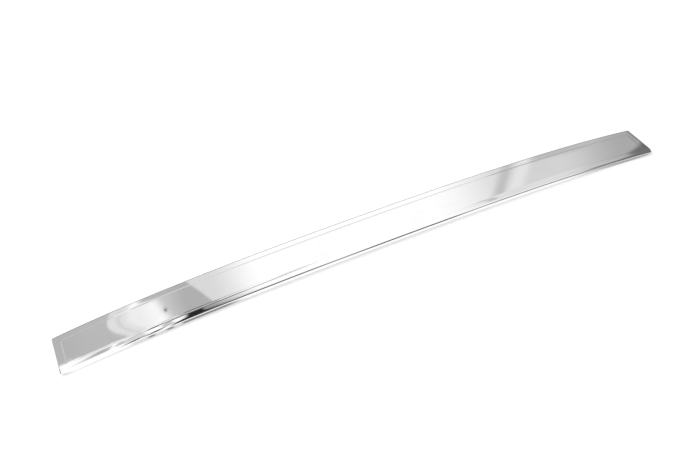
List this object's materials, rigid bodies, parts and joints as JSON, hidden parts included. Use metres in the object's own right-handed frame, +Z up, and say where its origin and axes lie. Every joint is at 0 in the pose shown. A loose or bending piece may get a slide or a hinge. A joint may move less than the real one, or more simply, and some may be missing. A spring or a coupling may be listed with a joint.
{
  "type": "tailgate trim strip",
  "caption": "Long polished steel trim strip, gently bowed and arched, with a rolled front flange, a turned-down rim and a raised panel inside a sloped crease.",
  "frame": {"origin": "middle of the bounding box, on the floor the strip lies on", "axes": "+X along the strip, +Y from the rolled front edge to the rear edge, +Z up out of the polished face"},
  "size_m": [1.0526, 0.0884, 0.0126],
  "materials": {
    "polished_steel": "polished"
  },
  "bodies": {
    "root": {"trim_strip": "polished_steel"}
  },
  "joints": []
}
